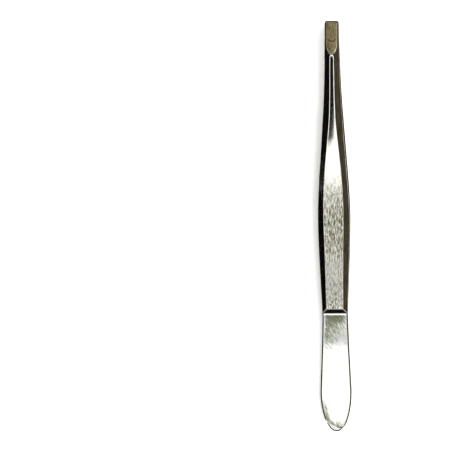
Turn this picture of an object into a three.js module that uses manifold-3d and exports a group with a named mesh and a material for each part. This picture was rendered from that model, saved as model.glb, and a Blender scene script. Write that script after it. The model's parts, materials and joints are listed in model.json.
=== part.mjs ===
// Flat-tip cosmetic tweezers, in millimetres, lying on a table with +Z up.
// Two stamped steel arms are spot-welded face to face at the butt and spring open towards the tips.
// Each arm is one strip of steel. It is split here at its flexure line into a heel, which is
// welded, and a blade, which bends, so that the blade can turn about that line.
//
// The arm frame: Y runs from the butt end to the tips, X across, Z up from the plane between
// the arms. Heights of the upper arm are given; the lower arm is the same shape upside down.

import * as THREE from "three";
import { mergeVertices } from "three/addons/utils/BufferGeometryUtils.js";
import Module from "manifold-3d";

// Lengths along the arm.
const LENGTH = 95;
const BUTT_ROUND = 9.5; // the butt end is half an ellipse of this length
const WELD_END = 18; // the arms part company here
const FLEXURE = 22.5; // the line about which a blade bends
const FLEXURE_GAP = 0.3;
const STEP_FOOT = 27.75; // the butt plate ends in a bevelled step up to the grip
const STEP_TOP = 28.85;
const ARCH_START = 28.5; // the arms part most steeply here
const GRIP_FLAT = [40, 54]; // the flat that the fingers press, and that the tweezers lie on
const NECK_FLAT_END = 87;
const NECK_END = 87.2; // the neck's flat and the claw's scoop meet in a low peak here
const CLAW_BEND = 90.1;
const PAD_START = 93.7; // the inner face is lapped flat from here to the end
const TIP_CORNER = 0.55; // radius of the tip's corners, seen from above

// Slopes, as rise over run.
const STEP_SLOPE = 0.16;
const GRIP_SLOPE = 0.0734;
const NECK_SLOPE = -0.045;
const HOOK_SLOPE = -0.12; // the claw bends inwards in two stages
const CLAW_SLOPE = -0.17;
const PAD_SLOPE = 0.0346; // the pads lie flat on each other when the arms close

// Sizes of the sections.
const PLATE = 1.0; // thickness of the butt plate
const PLATE_BEVEL = 0.25;
const BUTT_HALF_WIDTH = 3.61;
const EDGE_BREAK = 0.12; // the facet's long edges are broken by this much
const FACE_GAP = 0.3; // between the two heels' faces
const UPPER_END_SHORT = 1.15; // the upper arm's butt end stops short of the lower one's
const UPPER_END_REACH = 3; // how far up the arm the cut changes its outline

// Spot welds.
const NUGGETS = { weld_nugget_rear: 7.5, weld_nugget_front: 14.5 };
const NUGGET_RADIUS = 1.5;
const NUGGET_DEPTH = 0.5; // each way from the plane between the arms
const NUGGET_CLEARANCE = 0.3;

// Half the width, from the widest point of the butt to the tip.
const HALF_WIDTH = [
  [BUTT_ROUND, BUTT_HALF_WIDTH], [16, 3.34], [22, 3.09], [28, 2.95], [34, 3.15], [42.4, 3.47],
  [50.5, 3.61], [58, 3.28], [66.5, 2.66], [77.6, 1.95], [86, 1.71], [LENGTH, 1.61],
];
// Half the width of the outer facet: the grip narrows to the neck's ridge, then the claw's spoon.
const FACET_HALF_WIDTH = [
  [STEP_TOP, 1.84], [39.7, 1.98], [50.5, 2.21], [55.4, 2.15], [61, 1.79], [66.5, 1.26],
  [72, 0.74], [77.6, 0.54], [NECK_FLAT_END, 0.4], [NECK_END, 0.2], [87.6, 0.46], [88, 0.73],
  [89, 1.08], [CLAW_BEND, 1.17], [LENGTH, 1.2],
];
// Thickness up to the outer facet, and height of the side wall under the bevel.
const THICKNESS = [
  [STEP_TOP, 1.75], [36, 1.9], [57, 1.9], [66, 1.8], [75, 1.68], [NECK_FLAT_END, 1.46],
  [NECK_END, 1.55], [87.6, 1.29], [88, 1.16], [89, 1.05], [CLAW_BEND, 0.98], [PAD_START, 0.82],
  [LENGTH, 0.55],
];
const SIDE_WALL = [
  [STEP_TOP, 0.95], [36, 0.95], [50, 0.8], [66, 0.62], [75, 0.5], [NECK_END, 0.45], [88, 0.57],
  [89, 0.61], [CLAW_BEND, 0.57], [PAD_START, 0.47], [LENGTH, 0.25],
];
// Slope of the inner face. It changes evenly from one knot to the next.
const INNER_SLOPE = [
  [WELD_END, 0], [ARCH_START, STEP_SLOPE], [GRIP_FLAT[0], GRIP_SLOPE], [GRIP_FLAT[1], GRIP_SLOPE],
  [68, 0], [NECK_END, NECK_SLOPE], [88, HOOK_SLOPE], [90, HOOK_SLOPE], [90.5, CLAW_SLOPE],
  [PAD_START, CLAW_SLOPE], [93.9, PAD_SLOPE], [LENGTH, PAD_SLOPE],
];

const wasm = await Module();
wasm.setup();

// The index of the knot before y, in a list of [y, value].
function knotBefore(knots, y) {
  const next = knots.findIndex(([at]) => at > y);
  return next < 0 ? knots.length - 2 : Math.max(0, next - 1);
}

// Straight lines between the knots.
function linear(knots, y) {
  const [[y0, v0], [y1, v1]] = knots.slice(knotBefore(knots, y));
  return THREE.MathUtils.lerp(v0, v1, THREE.MathUtils.clamp((y - y0) / (y1 - y0), 0, 1));
}

// A smooth curve through the knots.
function smooth(knots, y) {
  const i = knotBefore(knots, y);
  const [[y0, v0], [y1, v1]] = knots.slice(i);
  const slopeAt = (k) => {
    const [ya, va] = knots[Math.max(0, k - 1)];
    const [yb, vb] = knots[Math.min(knots.length - 1, k + 1)];
    return (vb - va) / (yb - ya);
  };
  const t = THREE.MathUtils.clamp((y - y0) / (y1 - y0), 0, 1);
  const run = y1 - y0;
  return (
    v0 * (2 * t ** 3 - 3 * t ** 2 + 1) + v1 * (3 * t ** 2 - 2 * t ** 3) +
    run * slopeAt(i) * (t ** 3 - 2 * t ** 2 + t) + run * slopeAt(i + 1) * (t ** 3 - t ** 2)
  );
}

// Height of the inner face above the plane between the arms: its slope, summed.
function innerHeight(y) {
  let height = FACE_GAP / 2;
  for (let i = 0; i + 1 < INNER_SLOPE.length; i++) {
    const [y0, s0] = INNER_SLOPE[i];
    const end = Math.min(y, INNER_SLOPE[i + 1][0]);
    if (end > y0) height += ((s0 + linear(INNER_SLOPE, end)) / 2) * (end - y0);
  }
  return height;
}

function halfWidth(y) {
  if (y < BUTT_ROUND) return BUTT_HALF_WIDTH * Math.sqrt(1 - (1 - y / BUTT_ROUND) ** 2);
  const intoCorner = Math.max(0, y - (LENGTH - TIP_CORNER));
  const cornerCut = TIP_CORNER - Math.sqrt(TIP_CORNER ** 2 - intoCorner ** 2);
  return smooth(HALF_WIDTH, y) - cornerCut;
}

// The arm's section at y, as points [x, z] going round it.
function section(y) {
  const half = halfWidth(y);
  const onPlate = y <= STEP_FOOT;
  const intoCorner = Math.max(0, y - (LENGTH - TIP_CORNER));
  const facetInset = Math.min(onPlate ? PLATE_BEVEL : Infinity, half * 0.6);
  const facet = onPlate
    ? half - facetInset
    : Math.min(smooth(FACET_HALF_WIDTH, y), half - 0.12) - intoCorner * 0.1;
  const top = onPlate ? PLATE : linear(THICKNESS, y);
  const wall = onPlate ? PLATE - PLATE_BEVEL : linear(SIDE_WALL, y);
  const inner = innerHeight(y);
  // The break follows the bevel down from the facet's edge.
  const down = (EDGE_BREAK * (top - wall)) / Math.max(half - facet, 0.05);
  const right = [
    [half, inner],
    [half, inner + wall],
    [facet + Math.min(EDGE_BREAK, (half - facet) / 2), inner + top - Math.min(down, (top - wall) / 2)],
    [facet - EDGE_BREAK * Math.min(1, half), inner + top],
  ];
  const left = right.map(([x, z]) => [-x, z]).reverse();
  return [...right, ...left];
}

// Joins sections at rising y into one closed skin. place(x, y, z) may move a point.
function loft(stations, place = (x, y, z) => [x, y, z]) {
  const rings = stations.map((y) => section(y).map(([x, z]) => place(x, y, z)));
  const count = rings[0].length;
  const index = [];
  rings.slice(1).forEach((_, r) => {
    for (let i = 0; i < count; i++) {
      const a = r * count + i;
      const b = r * count + ((i + 1) % count);
      index.push(a, a + count, b, b, a + count, b + count);
    }
  });
  const last = (rings.length - 1) * count;
  for (let i = 1; i + 1 < count; i++) index.push(0, i, i + 1, last, last + i + 1, last + i);
  const geometry = new THREE.BufferGeometry();
  geometry.setAttribute("position", new THREE.Float32BufferAttribute(rings.flat(2), 3));
  geometry.setIndex(index);
  return geometry;
}

// Values from start to end, no further apart than step, both ends included.
function spread(start, end, step) {
  const parts = Math.max(1, Math.ceil((end - start) / step));
  return Array.from({ length: parts + 1 }, (_, i) => THREE.MathUtils.lerp(start, end, i / parts));
}

function toManifold(geometry) {
  const bare = new THREE.BufferGeometry();
  bare.setAttribute("position", geometry.getAttribute("position"));
  bare.setIndex(geometry.index);
  const merged = mergeVertices(bare, 1e-4);
  return new wasm.Manifold(new wasm.Mesh({
    numProp: 3,
    vertProperties: new Float32Array(merged.attributes.position.array),
    triVerts: new Uint32Array(merged.index.array),
  }));
}

function toGeometry(solid) {
  const mesh = solid.getMesh();
  const geometry = new THREE.BufferGeometry();
  geometry.setAttribute("position", new THREE.BufferAttribute(mesh.vertProperties, 3));
  geometry.setIndex(new THREE.BufferAttribute(mesh.triVerts, 1));
  return geometry;
}

// A weld nugget: a lens of fused metal across the joint, its axis along Z.
function nuggetGeometry(at, clearance = 0) {
  const radius = NUGGET_RADIUS + clearance;
  const depth = NUGGET_DEPTH + clearance;
  const profile = spread(-Math.PI / 2, Math.PI / 2, Math.PI / 6).map(
    (angle) => new THREE.Vector2(Math.max(0, radius * Math.cos(angle)), depth * Math.sin(angle)),
  );
  const lens = new THREE.LatheGeometry(profile, 20);
  return lens.rotateX(Math.PI / 2).translate(0, at, 0);
}

// The welded end of an arm, with a recess for its half of each nugget.
function heelGeometry(place) {
  const rounded = spread(0.08, Math.PI / 2, 0.12).map((a) => BUTT_ROUND * (1 - Math.cos(a)));
  const straight = spread(BUTT_ROUND, FLEXURE - FLEXURE_GAP / 2, 1.5).slice(1);
  const plate = toManifold(loft([...rounded, ...straight], place));
  const recesses = Object.values(NUGGETS).map((at) => nuggetGeometry(at, NUGGET_CLEARANCE));
  return toGeometry(recesses.reduce((solid, cut) => solid.subtract(toManifold(cut)), plate));
}

// The springing part of an arm, from the flexure line to the tip.
function bladeGeometry() {
  const corner = spread(0, Math.PI / 2 - 0.25, 0.33).map(
    (a) => LENGTH - TIP_CORNER + TIP_CORNER * Math.sin(a),
  );
  return loft([
    ...spread(FLEXURE + FLEXURE_GAP / 2, STEP_FOOT, 1.2),
    ...spread(STEP_TOP, GRIP_FLAT[0], 2),
    ...spread(...GRIP_FLAT, 2).slice(1),
    ...spread(GRIP_FLAT[1], NECK_FLAT_END, 2).slice(1),
    ...spread(NECK_END, CLAW_BEND, 0.5),
    ...spread(CLAW_BEND, PAD_START, 1.2).slice(1),
    93.9,
    ...corner,
    LENGTH,
  ]);
}

// The upper arm's butt end is cut a little short.
function shortenEnd(x, y, z) {
  const share = Math.max(0, 1 - y / UPPER_END_REACH) ** 2;
  return [x, y + share * UPPER_END_SHORT, z];
}

function steel(colour) {
  return new THREE.MeshStandardMaterial({ color: colour, roughness: 0.32, metalness: 1 });
}

function piece(name, geometry, material) {
  const mesh = new THREE.Mesh(geometry, material);
  mesh.name = name;
  return mesh;
}

const brushed = steel(0xb9b5a5);
const fused = steel(0x8d8a82);

const upperArm = new THREE.Group();
upperArm.add(piece("upper_heel", heelGeometry(shortenEnd), brushed));
upperArm.add(piece("upper_blade", bladeGeometry(), brushed));

const lowerArm = new THREE.Group();
lowerArm.add(piece("lower_heel", heelGeometry(), brushed));
lowerArm.add(piece("lower_blade", bladeGeometry(), brushed));
lowerArm.rotation.y = Math.PI;

const arms = new THREE.Group();
arms.add(upperArm, lowerArm);
for (const [name, at] of Object.entries(NUGGETS)) {
  arms.add(piece(name, nuggetGeometry(at), fused));
}

// The tweezers lie on the lower arm's grip flat, so the plane between the arms rises to the tips.
arms.rotation.x = Math.atan(GRIP_SLOPE);

const tweezers = new THREE.Group();
tweezers.add(arms);
tweezers.updateMatrixWorld(true);
const bounds = new THREE.Box3().setFromObject(tweezers, true);
arms.position.set(0, -(bounds.min.y + bounds.max.y) / 2, -bounds.min.z);

export default tweezers;
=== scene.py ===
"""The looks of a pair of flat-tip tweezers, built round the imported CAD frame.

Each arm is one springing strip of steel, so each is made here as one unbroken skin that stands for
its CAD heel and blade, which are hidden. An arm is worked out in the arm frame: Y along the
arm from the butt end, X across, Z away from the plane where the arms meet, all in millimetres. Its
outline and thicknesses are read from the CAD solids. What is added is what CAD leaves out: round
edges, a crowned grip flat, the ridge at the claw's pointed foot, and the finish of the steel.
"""

import json
import math

import bmesh
import bpy
import numpy as np
from mathutils import Matrix, Vector


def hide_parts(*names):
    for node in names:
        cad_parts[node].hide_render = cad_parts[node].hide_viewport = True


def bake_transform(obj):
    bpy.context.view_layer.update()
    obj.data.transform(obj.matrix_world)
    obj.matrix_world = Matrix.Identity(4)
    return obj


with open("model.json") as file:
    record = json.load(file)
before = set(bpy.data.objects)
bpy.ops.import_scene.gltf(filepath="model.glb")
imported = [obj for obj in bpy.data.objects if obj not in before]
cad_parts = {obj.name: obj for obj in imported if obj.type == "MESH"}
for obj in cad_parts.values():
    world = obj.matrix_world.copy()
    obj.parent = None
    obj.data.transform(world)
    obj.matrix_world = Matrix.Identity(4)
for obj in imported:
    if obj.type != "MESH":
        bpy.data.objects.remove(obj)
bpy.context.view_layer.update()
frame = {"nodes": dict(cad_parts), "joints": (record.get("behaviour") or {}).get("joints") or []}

MM = 0.001

# Camera, high over the table. It stands a little right of the tweezers and looks left of them.
IMAGE_WIDTH = 0.10507  # of the table, across the picture
CAMERA_HEIGHT = 0.6
CAMERA_LEAN = math.radians(2.4)  # how far right of overhead the camera is, seen from the tweezers
CAMERA_TILT = math.radians(4.824)
CAMERA_ROLL = math.radians(-0.456)
GAP_LEFT = math.radians(5.0)  # the dome's dark gap is this far left of straight overhead
GAP_TIPWARD = math.radians(1.5)
GAP_EDGE = (7.5, 6.5)  # degrees from its centre, where it starts and where it is fully dark

# The arm's shape, in millimetres. A pair of places along the arm is where a thing starts and ends.
WELD_FACE_GAP = 0.01  # from the plane between the arms to a welded face
WELD_END = 18.0
WELD_CLEAR = 26.0  # from here on the inner face is the CAD's
NUGGET_CLEARANCE = 0.3  # the CAD's, round a weld nugget
TIP_CORNER = 0.55  # radius of the tip's corners
ROUND_END = 9.0  # length of the outline's finely divided butt end
CLAW_START = 87.2
PLATE_FINISH_END = 4.0  # the inner face has the butt plate's finish up to here
GRIP_LATE = 0.12  # the grip's finish starts this far past the step
CLAW_LATE = 0.1
UPPER_END_SKEW = 0.3  # the upper arm's end is cut askew, by this much for each millimetre across
UPPER_END_REACH = 3.0  # how far up the arm that bends the outline
LOWER_TIP_ASIDE = 0.18  # the lower arm's tip is this far aside of the upper's
LOWER_BOW_START = 70.0  # it bends aside from here on

# Its edges. A softness is the width over which two faces turn into each other.
PLATE_CHAMFER = 0.36  # width of the bevel round the butt plate's outline
INNER_CHAMFER = 0.38  # the same, round the inner face
CHAMFER_SHARE = 0.8  # of the side wall's height: the inner chamfer is at most this wide
CHAMFER_SLOPE = math.tan(math.radians(38))
CHAMFER_SOFTNESS = 0.05
OUTER_EDGE = 0.03  # radius of the outer face's edge
INNER_EDGE = 0.02
RIM_SOFTNESS = 0.07  # where the grip flat turns into its bevels
STEP_TOP_SOFTNESS = 0.16
STEP_FOOT_SOFTNESS = 0.15

# The step from the butt plate up to the grip.
STEP_EASE = 0.85  # it leans back a little more than in CAD
STEP_EARLY = 0.1  # and starts a little sooner
STEP_MARGIN = 0.6  # the step's foot has died out this far before it
PLATE_SINK = 3.0  # slope at which the butt plate's face dives under the grip, past the step

# The grip flat and the claw.
CROWN = 0.035  # slope of the crowned grip flat at its edge
CROWN_REACH = 1.3  # in half widths of the flat: past this, neither crown nor ridge falls further
FOOT_RIDGE = 0.1  # the claw's foot has a ridge along its middle
RIDGE_ROUNDNESS = 0.1
RIDGE_LEVEL = 1.05  # keeps the facet's edge at the CAD's height
RIDGE_RISES = (87.4, 88.2)
RIDGE_FALLS = (87.8, 90.6)

# The skin's points. Each side of the outer face has a run of points from the middle to the flat's
# rim, over the rim, on to the edge, and round the edge. The inner face has some at each step inwards.
ACROSS_COUNTS = (5, 8, 4, 6)
ACROSS_POINTS = sum(ACROSS_COUNTS)
INNER_STEPS = np.array([0, 0.02, 0.06, 0.12, 0.2, 0.28, 0.35, 0.43, 0.7])
STEP_RINGS_MARGIN = 0.7  # the rings are close together this far round the step
CLAW_RINGS_MARGIN = 1.0

# The CAD's corners count as level with each other within these.
SAME_Y = 0.006
SAME_X = 0.002
LEVEL = 0.01

# The marks on the steel.
BRUSHING_LOW = 0.55  # how far the grip's brushing shows between its dark end and its middle
BRUSHING_RISES = (38.0, 43.0)
BRUSHING_FALLS = (50.0, 64.0)
GRIP_DARK_END = (29.5, 33.5)
TARNISH_BY_STEP = (18.0, 27.0)
TARNISH_SLANT = 0.9  # it reaches nearer the butt end on the left
TARNISH_SHARE = 0.92
TARNISH_DEEPENS = (24.5, 27.5)
TARNISH_DEPTH = 0.25
TARNISH_STOPS = (0.6, 0.2)  # before the step's foot
TARNISH_EDGE = 0.3  # how softly it starts at the plate's chamfer
END_TARNISH_SHARE = 0.85  # at the butt end, left of the middle
END_TARNISH_INSET = (0.6, 2.0)
END_TARNISH_ALONG = (4.5, 8.5)
END_TARNISH_ACROSS = (0.6, 1.9)
CREASE_PLACE = 90.3  # painted shade: a fine dark line across the claw along its crease, bowed towards the butt
CREASE_BOW = 0.8
CREASE_SHADE_WIDTH = 0.15
GLINT_SPOT = (0.12, 89.9)  # painted highlight: a small bright spot on the butt's side of the crease
GLINT_SIZE = (0.28, 0.15)

# Regions of an arm, each with its own finish.
BEVEL, GRIP, PLATE, CLAW, INSIDE = range(5)
# Columns of a station: place along the arm, half width, facet's half width, then heights.
Y, HALF, FACET, INNER, WALL, TOP = range(6)


# ---------------------------------------------------------------- camera, light and table

def make_camera():
    data = bpy.data.cameras.new("camera")
    data.sensor_width = 36
    data.lens = data.sensor_width * CAMERA_HEIGHT / IMAGE_WIDTH
    camera = bpy.data.objects.new("camera", data)
    bpy.context.scene.collection.objects.link(camera)
    camera.location = (CAMERA_HEIGHT * math.tan(CAMERA_LEAN), 0, CAMERA_HEIGHT)
    camera.rotation_euler = (0, CAMERA_TILT, CAMERA_ROLL)
    bpy.context.scene.camera = camera


class Nodes:
    """Short calls for building a node tree."""

    def __init__(self, tree):
        self.tree = tree
        self.tree.nodes.clear()

    def add(self, kind, inputs=(), **settings):
        node = self.tree.nodes.new(kind)
        for name, value in settings.items():
            setattr(node, name, value)
        for key, value in dict(inputs).items():
            if isinstance(value, bpy.types.NodeSocket):
                self.tree.links.new(value, node.inputs[key])
            else:
                node.inputs[key].default_value = value
        return node

    def math(self, operation, a, b=0.0):
        return self.add("ShaderNodeMath", {0: a, 1: b}, operation=operation).outputs[0]

    def ramp(self, value, stops):
        """A colour that changes with value. stops are (value from 0 to 1, colour or grey)."""
        node = self.add("ShaderNodeValToRGB", {"Fac": value})
        ramp = node.color_ramp
        ramp.interpolation = "EASE"
        while len(ramp.elements) < len(stops):
            ramp.elements.new(1.0)
        for element, (at, colour) in zip(ramp.elements, stops):
            element.position = at
            grey = (colour,) * 3 if isinstance(colour, (int, float)) else colour
            element.color = (*grey, 1)
        return node.outputs["Color"]

    def step(self, value, low, high):
        """0 below low, 1 above high, smooth between."""
        inputs = {"Value": value, "From Min": low, "From Max": high}
        return self.add("ShaderNodeMapRange", inputs, interpolation_type="SMOOTHSTEP").outputs[0]

    def mark(self, name):
        """A value that the mesh carries on its points."""
        return self.add("ShaderNodeAttribute", attribute_name=name).outputs["Fac"]

    def mix(self, share, a, b, blend="MIX"):
        node = self.add("ShaderNodeMix", {0: share, 6: a, 7: b}, data_type="RGBA", blend_type=blend)
        return node.outputs[2]


def make_studio():
    """A soft white dome with a dark horizon, a small dark gap near its top, and one soft lamp."""
    world = bpy.data.worlds.new("studio")
    world.use_nodes = True
    bpy.context.scene.world = world
    nodes = Nodes(world.node_tree)
    direction = nodes.add("ShaderNodeTexCoord").outputs["Generated"]
    x, y, z = nodes.add("ShaderNodeSeparateXYZ", {0: direction}).outputs
    angle = nodes.math("MULTIPLY", nodes.math("ARCCOSINE", z), 180 / math.pi)
    across_squared = nodes.math("ADD", nodes.math("MULTIPLY", x, x), nodes.math("MULTIPLY", y, y))
    across = nodes.math("SQRT", across_squared)
    heading = nodes.math("DIVIDE", y, nodes.math("MAXIMUM", across, 0.001))

    def sky(*stops):
        """A colour for each angle from straight overhead, in degrees."""
        return nodes.ramp(nodes.math("DIVIDE", angle, 90.0), [(at / 90, colour) for at, colour in stops])

    black, white = 0.003, 1.0
    to_butt = sky(
        (0, white), (14.5, white), (16.5, 0.45), (19, 0.45), (21, 0.7), (24, 0.65), (28, 0.3),
        (30, 0.4), (33, white), (58, white), (63, 0.45), (73, 0.45), (79, black), (90, black),
    )
    to_sides = sky((0, white), (52, white), (60, black), (90, black))
    olive = nodes.mix(nodes.step(x, -0.22, 0.22), (0.17, 0.145, 0.085, 1), (0.33, 0.29, 0.19, 1))
    olive_band = sky((0, 0.0), (6, 0.0), (11, white), (43, white), (52, 0.0))
    low_band = sky((0, 0.0), (52, 0.0), (57, 0.65), (66, 0.7), (70, 0.015), (90, 0.01))
    to_tips = nodes.mix(1.0, nodes.mix(1.0, olive, olive_band, "MULTIPLY"), low_band, "ADD")
    leftward = nodes.math("SUBTRACT", heading, nodes.math("MULTIPLY", x, 0.35))
    colour = nodes.mix(nodes.step(leftward, 0.3, 0.6), to_sides, to_tips)
    colour = nodes.mix(nodes.step(heading, -0.3, -0.7), colour, to_butt)
    gap_centre = Vector((-math.sin(GAP_LEFT), math.sin(GAP_TIPWARD), 1)).normalized()
    from_gap = nodes.add("ShaderNodeVectorMath", {0: direction, 1: gap_centre}, operation="DOT_PRODUCT")
    from_gap = nodes.math("MULTIPLY", nodes.math("ARCCOSINE", from_gap.outputs["Value"]), 180 / math.pi)
    colour = nodes.mix(nodes.step(from_gap, *GAP_EDGE), colour, (black, black, black, 1))
    # A warm brown glow low on the right.
    low_right = nodes.math("MULTIPLY", nodes.step(x, 0.4, 0.8), nodes.step(angle, 55.0, 64.0))
    low_right = nodes.math("MULTIPLY", low_right, nodes.step(nodes.math("ABSOLUTE", heading), 0.6, 0.35))
    colour = nodes.mix(low_right, colour, (0.07, 0.061, 0.041, 1))
    background = nodes.add("ShaderNodeBackground", {"Color": colour, "Strength": 1.3})
    nodes.add("ShaderNodeOutputWorld", {"Surface": background.outputs[0]})

    data = bpy.data.lights.new("key", "SUN")
    data.energy = 3.7
    data.angle = math.radians(36)
    key = bpy.data.objects.new("key", data)
    key.rotation_euler = (0, math.radians(12.3), 0)
    key.visible_glossy = False
    bpy.context.scene.collection.objects.link(key)
    bpy.context.scene.view_settings.view_transform = "Standard"


def make_table():
    material = bpy.data.materials.new("table_white")
    material.use_nodes = True
    nodes = Nodes(material.node_tree)
    place = nodes.add("ShaderNodeTexCoord").outputs["Object"]
    grain = nodes.add("ShaderNodeTexNoise", {"Vector": place, "Scale": 90.0, "Detail": 3.0}).outputs[0]
    colour = nodes.ramp(grain, [(0.3, 0.9), (0.7, 0.93)])
    shader = nodes.add("ShaderNodeBsdfPrincipled", {"Base Color": colour, "Roughness": 0.9})
    nodes.add("ShaderNodeOutputMaterial", {"Surface": shader.outputs[0]})
    size = 2.0
    mesh = bpy.data.meshes.new("table")
    corners = [(-size, -size, 0), (size, -size, 0), (size, size, 0), (-size, size, 0)]
    mesh.from_pydata(corners, [], [(0, 1, 2, 3)])
    mesh.materials.append(material)
    table = bpy.data.objects.new("table", mesh)
    bpy.context.scene.collection.objects.link(table)


# ---------------------------------------------------------------- the arm frame and the CAD's sizes

def hinge_place(name):
    """Where a joint's axis is, in the row frame."""
    return Vector(next(j["pos_m"] for j in frame["joints"] if j["name"] == name))


def arm_axes():
    """Takes the arm frame, in millimetres, to the row frame. The hinges lie above each other in it."""
    upper, lower = hinge_place("upper_arm_flex"), hinge_place("lower_arm_flex")
    up = (upper - lower).normalized()
    along = Vector((0, up.z, -up.y))
    butt_end = min((v.co - upper).dot(along) for v in frame["nodes"]["lower_heel"].data.vertices)
    origin = (upper + lower) / 2 + along * butt_end
    turn = Matrix((Vector((1, 0, 0)), along, up)).transposed().to_4x4()
    return Matrix.Translation(origin) @ turn @ Matrix.Scale(MM, 4)


def arm_points(node, side):
    """A CAD node's corners in the arm frame, with the lower arm turned over to match the upper."""
    to_arm = arm_axes().inverted()
    points = np.array([to_arm @ v.co for v in frame["nodes"][node].data.vertices])
    return points * (side, 1, side)


def stations(node, side, above=-1.0):
    """The sections that the CAD solid is lofted through, as rows of y and the sizes below."""
    points = arm_points(node, side)
    points = points[points[:, 2] > above]
    rows = []
    for y in sorted(set(np.round(points[:, 1], 2))):
        ring = points[abs(points[:, 1] - y) < SAME_Y]
        reach = abs(ring[:, 0])
        half, top = reach.max(), ring[:, 2].max()
        edge = ring[reach > half - SAME_X]
        # The facet's corner is broken, so its edge is halfway between the break's two ends.
        broken = ring[(ring[:, 2] > edge[:, 2].max() + LEVEL) & (ring[:, 0] > 0)]
        if len(broken) == 0:
            continue
        facet = (broken[:, 0].min() + broken[:, 0].max()) / 2
        rows.append((y, half, facet, edge[:, 2].min(), edge[:, 2].max(), top))
    return np.array(rows)


def curve(knots_x, knots_y, x):
    """A smooth curve through the knots that never overshoots them."""
    gap = np.diff(knots_x)
    slope = np.diff(knots_y) / gap
    tangent = np.zeros(len(knots_x))
    inner = slope[:-1] * slope[1:] > 0
    weight_a, weight_b = 2 * gap[1:] + gap[:-1], gap[1:] + 2 * gap[:-1]
    safe_a, safe_b = np.where(inner, slope[:-1], 1), np.where(inner, slope[1:], 1)
    mean = (weight_a + weight_b) / (weight_a / safe_a + weight_b / safe_b)
    tangent[1:-1] = np.where(inner, mean, 0)
    tangent[0], tangent[-1] = slope[0], slope[-1]
    i = np.clip(np.searchsorted(knots_x, x, side="right") - 1, 0, len(gap) - 1)
    run = np.clip(np.asarray(x, float), knots_x[0], None) - knots_x[i]
    t = run / gap[i]
    inside = (
        knots_y[i] * (2 * t**3 - 3 * t**2 + 1) + knots_y[i + 1] * (3 * t**2 - 2 * t**3)
        + gap[i] * (tangent[i] * (t**3 - 2 * t**2 + t) + tangent[i + 1] * (t**3 - t**2))
    )
    beyond = knots_y[-1] + tangent[-1] * (np.asarray(x, float) - knots_x[-1])
    return np.where(np.asarray(x) > knots_x[-1], beyond, inside)


def fade(x, low, high):
    """0 below low, 1 above high, smooth between."""
    t = np.clip((np.asarray(x, float) - low) / (high - low), 0, 1)
    return t * t * (3 - 2 * t)


def soft_min(a, b, k):
    """The smaller of a and b, rounded off where they differ by less than k."""
    h = np.clip(0.5 + 0.5 * (b - a) / k, 0, 1)
    return b + (a - b) * h - k * h * (1 - h)


def soft_max(a, b, k):
    return -soft_min(-a, -b, k)


def chamfer_cut(inset, width):
    """How much an edge's chamfer takes off the height."""
    return soft_max(CHAMFER_SLOPE * (width - inset), 0.0, CHAMFER_SOFTNESS)


def rounding_cut(inset, radius):
    """The same for a rounded edge."""
    return radius - np.sqrt(radius**2 - (radius - np.minimum(inset, radius)) ** 2)


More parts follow.
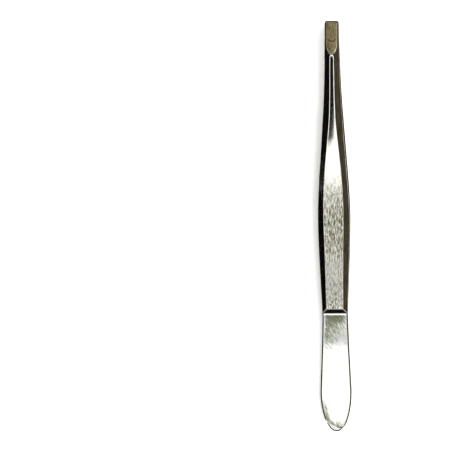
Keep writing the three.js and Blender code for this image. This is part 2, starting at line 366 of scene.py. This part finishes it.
class ArmShape:
    """An arm's outline and heights at any place, from the CAD's stations."""

    def __init__(self, prefix, side):
        recess_top = arm_points("weld_nugget_rear", 1)[:, 2].max() + NUGGET_CLEARANCE
        heel = stations(prefix + "_heel", side, above=recess_top + LEVEL)
        blade = stations(prefix + "_blade", side)
        jump = np.argmax(np.diff(blade[:, TOP]))
        self.foot, self.head = blade[jump, Y], blade[jump + 1, Y]
        self.end = blade[-1, Y]
        self.blade = blade
        self.plate = np.vstack([heel, blade[: jump + 1]])
        self.raised = blade[jump + 1:]
        self.plate_thickness = blade[0, TOP] - blade[0, INNER]
        self.heel_gap = heel[0, TOP] - self.plate_thickness
        before_corner = blade[blade[:, Y] < self.end - TIP_CORNER + LEVEL]
        self.sides = np.vstack([heel, before_corner])
        (y1, h1), (y2, h2) = self.sides[:2, [Y, HALF]]
        self.start = y1 - h1**2 * (y2 - y1) / (h2**2 - h1**2)
        self.line = self.outline()

    def width(self, y):
        """Half the width, before the tip's corners are rounded off.
        Near the butt end it grows as a square root, as a round end does."""
        y = np.asarray(y, float)
        ratio = curve(self.sides[:, Y], self.sides[:, HALF] ** 2 / (self.sides[:, Y] - self.start), y)
        return np.sqrt(np.maximum(ratio * (y - self.start), 0))

    def half(self, y):
        """Half the width, with the tip's corners rounded off."""
        into = np.clip(np.asarray(y, float) - (self.end - TIP_CORNER), 0, TIP_CORNER)
        return self.width(y) - (TIP_CORNER - np.sqrt(TIP_CORNER**2 - into**2))

    def cad_inner(self, y):
        on_plate = self.plate_top(y) - self.plate_thickness
        on_blade = curve(self.blade[:, Y], self.blade[:, INNER], y)
        return np.where(y < self.foot, on_plate, on_blade)

    def inner(self, y):
        """The inner face. CAD keeps the welded faces apart, and here they meet."""
        closing = (self.heel_gap - WELD_FACE_GAP) * (1 - fade(y, WELD_END, WELD_CLEAR))
        return self.cad_inner(y) - closing

    def plate_top(self, y):
        """Height of the butt plate's outer face."""
        return curve(self.plate[:, Y], self.plate[:, TOP], np.minimum(y, self.foot))

    def raised_size(self, column, y):
        """One of the blade's sizes past the step, named by its column."""
        return curve(self.raised[:, Y], self.raised[:, column], np.maximum(y, self.head))

    def outline(self):
        """The outline's right half, from the butt end round to the middle of the tip."""
        round_end = self.start + ROUND_END * (1 - np.cos(np.linspace(0, math.pi / 2, 60)))
        corner = self.end - TIP_CORNER + TIP_CORNER * np.sin(np.linspace(0, math.pi / 2, 12))
        y = np.concatenate([round_end, np.arange(round_end[-1] + 0.4, corner[0] - 0.2, 0.4), corner])
        right = np.stack([self.half(y), y], axis=1)
        return np.vstack([right, [(0, self.end)]])

    def inset(self, x, y):
        """How far a place is inside the outline."""
        nearest = np.full(x.shape, np.inf)
        for (ax, ay), (bx, by) in zip(self.line[:-1], self.line[1:]):
            rx, ry = bx - ax, by - ay
            dx, dy = abs(x) - ax, y - ay
            t = np.clip((dx * rx + dy * ry) / (rx**2 + ry**2), 0, 1)
            nearest = np.minimum(nearest, (dx - t * rx) ** 2 + (dy - t * ry) ** 2)
        return np.sqrt(nearest)

    def outer(self, x, y):
        """Height of the outer face: the butt plate, the step, and the bevelled blade."""
        inset = self.inset(x, y)
        facet = self.raised_size(FACET, y)
        share = np.minimum(abs(x) / facet, CROWN_REACH) ** 2
        flat = self.raised_size(TOP, y) - CROWN / 2 * facet * share - self.ridge_fall(share, y)
        wall = self.raised_size(WALL, y)
        steepness = (self.raised_size(TOP, y) - wall) / (self.width(y) - facet)
        blade = soft_min(flat, wall + inset * steepness, RIM_SOFTNESS)
        climb = STEP_EASE * (self.raised[0, TOP] - self.plate[-1, TOP]) / (self.head - self.foot)
        step = self.plate[-1, TOP] + climb * (y - self.foot + STEP_EARLY)
        plate = np.where(y < self.foot, self.plate_top(y), self.cad_inner(y) + self.plate_thickness)
        plate = plate - chamfer_cut(inset, PLATE_CHAMFER)
        sunk_plate = plate - PLATE_SINK * np.maximum(y - self.head, 0)
        raised = soft_max(soft_min(blade, step, STEP_TOP_SOFTNESS), sunk_plate, STEP_FOOT_SOFTNESS)
        face = np.where(y < self.foot - STEP_MARGIN, plate, raised)
        return face - rounding_cut(inset, OUTER_EDGE)

    def inner_chamfer(self, y):
        """Width of the inner face's chamfer."""
        wall = np.where(y < self.foot, self.plate_thickness, self.raised_size(WALL, y) - self.cad_inner(y))
        return np.minimum(INNER_CHAMFER, CHAMFER_SHARE * wall)

    def inner_side(self, x, y):
        """Height of the inner face, with its edge broken."""
        inset = self.inset(x, y)
        return self.inner(y) + chamfer_cut(inset, self.inner_chamfer(y)) + rounding_cut(inset, INNER_EDGE)

    def ridge_fall(self, share, y):
        """How far the claw's foot is below the CAD's facet. Along its ridge it is above it."""
        across = np.sqrt(share + RIDGE_ROUNDNESS) - RIDGE_LEVEL
        return FOOT_RIDGE * across * fade(y, *RIDGE_RISES) * (1 - fade(y, *RIDGE_FALLS))

    def ring_places(self):
        """Where the skin's rings lie along the arm: close together where its shape turns quickly."""
        round_end = self.start + ROUND_END * (1 - np.cos(np.linspace(0.02, math.pi / 2, 56)))
        corner = self.end - TIP_CORNER + TIP_CORNER * np.sin(np.linspace(0, math.pi / 2, 14))
        step_start, step_end = self.foot - STEP_RINGS_MARGIN, self.head + STEP_RINGS_MARGIN
        claw = CLAW_START - CLAW_RINGS_MARGIN
        # Each span's start and end, and the gap between its rings.
        spans = [
            (round_end[-1], step_start, 0.4), (step_start, step_end, 0.06),
            (step_end, claw, 0.35), (claw, corner[0], 0.07),
        ]
        between = [np.linspace(a, b, math.ceil((b - a) / gap) + 1)[1:-1] for a, b, gap in spans]
        joints = [[b] for _, b, _ in spans[:-1]] + [[]]
        parts = [part for pair in zip(between, joints) for part in pair]
        return np.concatenate([round_end, *parts, corner])

    def across_places(self, y):
        """Where the skin's points lie across the arm: close together over the facet's edge and the rim."""
        half = self.half(y)
        on_blade = fade(y, self.foot, self.head)
        plate = np.maximum(half - PLATE_CHAMFER, 0.6 * half)
        facet = plate + (np.minimum(self.raised_size(FACET, y), 0.75 * half) - plate) * on_blade
        rim = np.minimum(0.08 + 0.14 * on_blade, np.minimum(0.4 * facet, 0.4 * (half - facet)))
        edge = np.minimum(0.08, 0.3 * (half - facet))
        knots = [0 * half, facet - rim, facet + rim, half - edge, half]
        places = [knots[0]]
        for a, b, count in zip(knots[:-1], knots[1:], ACROSS_COUNTS):
            run = np.arange(1, count + 1) / count
            shares = np.sin(run * math.pi / 2) if b is half else run
            places.extend(a + (b - a) * share for share in shares)
        return np.array(places)


# ---------------------------------------------------------------- the arms

def arm_rings(shape):
    """The arm's sections as points [ring, point, xyz], each going once round the arm."""
    y = shape.ring_places()
    right = shape.across_places(y)
    x = np.vstack([right[::-1], -right[1:]])
    along = np.broadcast_to(y, x.shape)
    over = np.stack([x, along, shape.outer(x, along)], axis=-1)
    half = shape.half(y)
    steps = np.minimum.outer(INNER_STEPS, 0.9 * half)
    right = np.vstack([half - steps, 0.5 * (half - steps[-1])])
    x = np.vstack([-right, right[::-1]])
    along = np.broadcast_to(y, x.shape)
    under = np.stack([x, along, shape.inner_side(x, along)], axis=-1)
    return np.concatenate([over, under]).transpose(1, 0, 2)


def face_regions(shape, rings):
    """Which finish each face between two rings has."""
    middle = (rings[:-1] + rings[1:]) / 2
    middle = (middle + np.roll(middle, -1, axis=1)) / 2
    x, y = abs(middle[..., 0]), middle[..., 1]
    across = 2 * ACROSS_POINTS
    outside = np.arange(rings.shape[1])[None, :] < across
    facet = shape.raised_size(FACET, y)
    inset = shape.inset(x, y)
    region = np.where(outside | (inset < shape.inner_chamfer(y)), BEVEL, INSIDE)
    region = np.where((region == INSIDE) & (y < PLATE_FINISH_END), PLATE, region)
    region = np.where(outside & (y < shape.foot) & (inset > PLATE_CHAMFER), PLATE, region)
    region = np.where(outside & (y > shape.head + GRIP_LATE) & (x < facet), GRIP, region)
    return np.where(outside & (y > CLAW_START + CLAW_LATE) & (x < facet), CLAW, region)


def uneven(rings, shape, side):
    """The arm's points with the small faults that set the two arms apart."""
    x, y, z = np.moveaxis(rings, -1, 0)
    if side > 0:
        y = y - UPPER_END_SKEW * x * np.clip(1 - (y - shape.start) / UPPER_END_REACH, 0, 1) ** 2
    else:
        x = x + LOWER_TIP_ASIDE * fade(y, LOWER_BOW_START, shape.end)
    return np.stack([x, y, z], axis=-1)


def make_arm(name, prefix, side):
    """One arm, from butt end to tip, which stands for its CAD heel and blade and hides them."""
    shape = ArmShape(prefix, side)
    rings = arm_rings(shape)
    regions = face_regions(shape, rings)
    count, size = rings.shape[:2]
    place = arm_axes() @ Matrix.Diagonal((side, 1, side, 1))
    corners = [place @ Vector(p) for p in uneven(rings, shape, side).reshape(-1, 3)]
    faces = []
    for r in range(count - 1):
        for i in range(size):
            a, b = r * size + i, r * size + (i + 1) % size
            faces.append((a, b, b + size, a + size))
    faces.append(tuple(range(size)))
    faces.append(tuple(reversed(range((count - 1) * size, count * size))))
    mesh = bpy.data.meshes.new(name)
    mesh.from_pydata(corners, [], faces)
    for material in arm_materials():
        mesh.materials.append(material)
    mesh.polygons.foreach_set("material_index", [*regions.ravel().tolist(), BEVEL, BEVEL])
    build = bmesh.new()
    build.from_mesh(mesh)
    bmesh.ops.recalc_face_normals(build, faces=build.faces)
    build.to_mesh(mesh)
    build.free()
    mesh.shade_smooth()
    mesh.set_sharp_from_angle(angle=math.radians(50))
    mark_finish(mesh, rings, shape)
    arm = bpy.data.objects.new(name, mesh)
    bpy.context.scene.collection.objects.link(arm)
    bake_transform(arm)
    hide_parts(prefix + "_heel", prefix + "_blade")


def add_mark(mesh, name, values):
    """A value on each point of the mesh, which its materials read by name."""
    mark = mesh.attributes.new(name, "FLOAT", "POINT")
    mark.data.foreach_set("value", values.ravel().astype(np.float32))


def mark_finish(mesh, rings, shape):
    """Where the steel is brushed and tarnished, and where shade and a highlight are painted by the claw's
    crease.
    """
    x, y = rings[..., 0], rings[..., 1]
    strong = np.maximum(fade(y, *BRUSHING_RISES), 1 - fade(y, *GRIP_DARK_END))
    brushing = BRUSHING_LOW + (1 - BRUSHING_LOW) * strong
    add_mark(mesh, "brushing", brushing * (1 - fade(y, *BRUSHING_FALLS)))

    inset = shape.inset(x, y)
    by_step = TARNISH_SHARE + TARNISH_DEPTH * fade(y, *TARNISH_DEEPENS)
    by_step = by_step * fade(y - TARNISH_SLANT * x, *TARNISH_BY_STEP)
    by_step = by_step * (1 - fade(y, shape.foot - TARNISH_STOPS[0], shape.foot - TARNISH_STOPS[1]))
    by_step = by_step * fade(inset, PLATE_CHAMFER, PLATE_CHAMFER + TARNISH_EDGE)
    at_end = 1 - fade(inset, *END_TARNISH_INSET)
    at_end = at_end * (1 - fade(y, *END_TARNISH_ALONG)) * (1 - fade(x, *END_TARNISH_ACROSS))
    tarnish = np.maximum(by_step, END_TARNISH_SHARE * at_end)
    tarnish[:, 2 * ACROSS_POINTS:] = 0  # the inner face has none
    add_mark(mesh, "tarnish", tarnish)

    # Painted shade: a dark line along the claw's crease, fading out towards the facet's edges.
    share = (x / shape.raised_size(FACET, y)) ** 2
    from_crease = (y - CREASE_PLACE - CREASE_BOW * share) / CREASE_SHADE_WIDTH
    add_mark(mesh, "painted_crease_shade", np.exp(-from_crease**2) * (1 - fade(share, 0.35, 0.9)))
    # Painted highlight: a small bright spot just on the butt's side of the crease.
    across, along = (x - GLINT_SPOT[0]) / GLINT_SIZE[0], (y - GLINT_SPOT[1]) / GLINT_SIZE[1]
    add_mark(mesh, "painted_glint", np.exp(-across**2 - along**2))


# ---------------------------------------------------------------- the steel

_materials = []


def steel(name, finish):
    """Warm grey steel. finish(nodes, place) returns its colour, roughness, bump height and depth."""
    material = bpy.data.materials.new(name)
    material.use_nodes = True
    nodes = Nodes(material.node_tree)
    place = nodes.add("ShaderNodeTexCoord").outputs["Object"]
    colour, roughness, height, depth = finish(nodes, place)
    bump = nodes.add("ShaderNodeBump", {"Height": height, "Distance": depth, "Strength": 1.0})
    shader = nodes.add("ShaderNodeBsdfPrincipled", {
        "Base Color": colour, "Roughness": roughness, "Metallic": 1.0, "Normal": bump.outputs[0],
    })
    nodes.add("ShaderNodeOutputMaterial", {"Surface": shader.outputs[0]})
    return material


def streaks(nodes, place, across, along, turn=0.0, detail=3.0):
    """Noise drawn out along the arm, in streaks of the given size in millimetres."""
    stretched = nodes.add("ShaderNodeMapping", {
        "Vector": place, "Rotation": (0, 0, math.radians(turn)),
        "Scale": (across * MM, along * MM, across * MM),
    }, vector_type="TEXTURE")
    noise = {"Vector": stretched.outputs[0], "Scale": 1.0, "Detail": detail, "Roughness": 0.6}
    return nodes.add("ShaderNodeTexNoise", noise).outputs[0]


def polished(nodes, place):
    tint = streaks(nodes, place, 0.5, 4)
    colour = nodes.ramp(tint, [(0.3, (0.36, 0.34, 0.29)), (0.7, (0.70, 0.68, 0.61))])
    marks = streaks(nodes, place, 0.3, 8)
    roughness = nodes.ramp(marks, [(0.3, 0.05), (0.7, 0.1)])
    return colour, roughness, marks, 0.000003


def brushed(nodes, place):
    mottle = streaks(nodes, place, 0.2, 2.0, detail=4)
    waves = streaks(nodes, place, 0.32, 1.1)
    shows = nodes.mark("brushing")
    streaked = nodes.ramp(mottle, [
        (0.38, (0.10, 0.095, 0.06)), (0.48, (0.42, 0.41, 0.32)), (0.62, (0.9, 0.89, 0.8)),
    ])
    plain = nodes.ramp(mottle, [
        (0.3, (0.62, 0.61, 0.52)), (0.42, (0.88, 0.87, 0.80)), (0.6, (0.98, 0.97, 0.92)),
    ])
    colour = nodes.mix(shows, plain, streaked)
    roughness = nodes.math("ADD", nodes.math("MULTIPLY", shows, 0.06), 0.07)
    height = nodes.math("MULTIPLY", nodes.math("ADD", mottle, nodes.math("MULTIPLY", waves, 1.6)), shows)
    return colour, roughness, height, 0.00004


def scratched(nodes, place):
    scratches = streaks(nodes, place, 0.2, 1.8, turn=30, detail=4)
    tarnish = nodes.mark("tarnish")
    depth = nodes.math("ADD", tarnish, nodes.math("MULTIPLY", nodes.math("SUBTRACT", scratches, 0.5), 3.0))
    colour = nodes.ramp(depth, [
        (0.25, (0.97, 0.97, 0.95)), (0.42, (0.76, 0.80, 0.70)),
        (0.7, (0.5, 0.53, 0.42)), (1.0, (0.26, 0.27, 0.18)),
    ])
    return colour, 0.12, scratches, 0.000006


def ground(nodes, place):
    marks = streaks(nodes, place, 0.35, 1.0)
    colour = nodes.ramp(marks, [(0.35, (0.46, 0.41, 0.29)), (0.65, (0.80, 0.77, 0.64))])
    # Painted shade along the claw's crease darkens the colour.
    colour = nodes.mix(nodes.math("MULTIPLY", nodes.mark("painted_crease_shade"), 0.8), colour, (0.05, 0.045, 0.03, 1))
    # Painted highlight: the small bright spot beside the crease.
    colour = nodes.mix(nodes.mark("painted_glint"), colour, (0.98, 0.97, 0.93, 1))
    return colour, 0.15, marks, 0.000012


def satin(nodes, place):
    marks = streaks(nodes, place, 0.25, 1.5)
    colour = nodes.ramp(marks, [(0.35, (0.27, 0.26, 0.22)), (0.65, (0.38, 0.365, 0.32))])
    return colour, 0.16, marks, 0.000006


def fused(nodes, place):
    ripple = streaks(nodes, place, 0.4, 0.4)
    colour = nodes.ramp(ripple, [(0.35, (0.26, 0.25, 0.24)), (0.65, (0.42, 0.4, 0.38))])
    return colour, 0.45, ripple, 0.00002


def arm_materials():
    """The finish of each region, in the order of the regions' numbers."""
    if not _materials:
        _materials.extend([
            steel("steel_polished", polished), steel("steel_brushed", brushed),
            steel("steel_scratched", scratched), steel("steel_ground", ground), steel("steel_satin", satin),
        ])
    return _materials


def finish_weld_nuggets():
    material = steel("steel_fused", fused)
    for name, node in frame["nodes"].items():
        if name.startswith("weld_nugget"):
            node.data.materials.clear()
            node.data.materials.append(material)


make_camera()
make_studio()
make_table()
make_arm("lower_arm_skin", "lower", -1)
make_arm("upper_arm_skin", "upper", 1)
finish_weld_nuggets()
